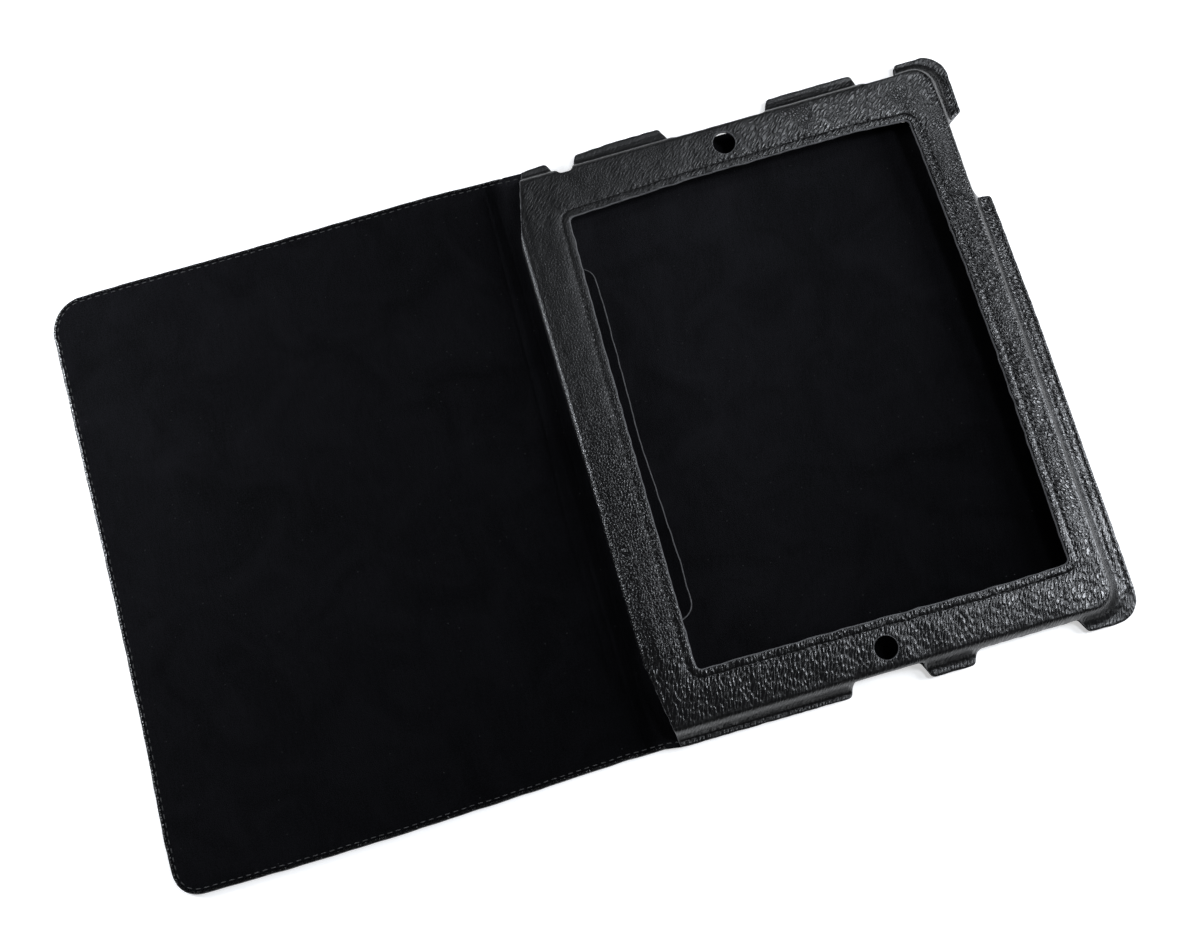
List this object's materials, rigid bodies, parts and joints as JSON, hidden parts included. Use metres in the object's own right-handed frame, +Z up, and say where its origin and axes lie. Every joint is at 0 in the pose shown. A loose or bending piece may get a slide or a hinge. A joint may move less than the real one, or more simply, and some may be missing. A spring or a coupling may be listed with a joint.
{
  "type": "tablet case",
  "caption": "Folio tablet case in black leather: suede-lined cover, soft spine, and a holder with a padded window frame, port notches and a tuck flap that closes the pocket.",
  "frame": {"origin": "centre of the tablet pocket, on the back face that the case rests on", "axes": "+X from the spine to the holder's free edge, +Y towards the camera end, +Z up out of the open case"},
  "size_m": [0.4083, 0.2574, 0.013],
  "materials": {
    "outer_leather": "pebbled black leather, satin",
    "frame_leather": "formed black leather with a creased grain, satin",
    "suede": "near-black napped microsuede",
    "thread": "black sewing thread with a faint sheen",
    "greyboard": "bookbinder's board",
    "strip_plastic": "thin stiffening sheet",
    "interlining": "bonded interlining"
  },
  "bodies": {
    "holder": {"back_leather": "outer_leather", "back_board": "greyboard", "pocket_lining": "suede", "frame_leather": "frame_leather", "frame_lining": "suede", "stiffener_top": "strip_plastic", "stiffener_bottom": "strip_plastic", "stiffener_left": "strip_plastic", "stiffener_right": "strip_plastic", "window_stitching": "thread", "flange_stitching": "thread"},
    "spine": {"spine_leather": "outer_leather", "spine_interlining": "interlining", "spine_lining": "suede", "spine_stitching": "thread"},
    "cover": {"cover_leather": "outer_leather", "cover_board": "greyboard", "cover_lining": "suede", "cover_stitching": "thread"},
    "flap": {"flap_leather": "frame_leather", "flap_lining": "suede"}
  },
  "joints": [
    {"name": "spine_fold", "type": "hinge", "parent": "holder", "child": "spine", "pos_m": [-0.099, 0, 0.0012], "axis": [0, 1, 0], "range_deg": [-90, 90]},
    {"name": "cover_fold", "type": "hinge", "parent": "spine", "child": "cover", "pos_m": [-0.1123, 0, 0.0012], "axis": [0, 1, 0], "range_deg": [-90, 90]},
    {"name": "tuck_flap_lift", "type": "hinge", "parent": "holder", "child": "flap", "pos_m": [-0.0965, 0, 0.00375], "axis": [0, -1, 0], "range_deg": [0, 16]}
  ]
}
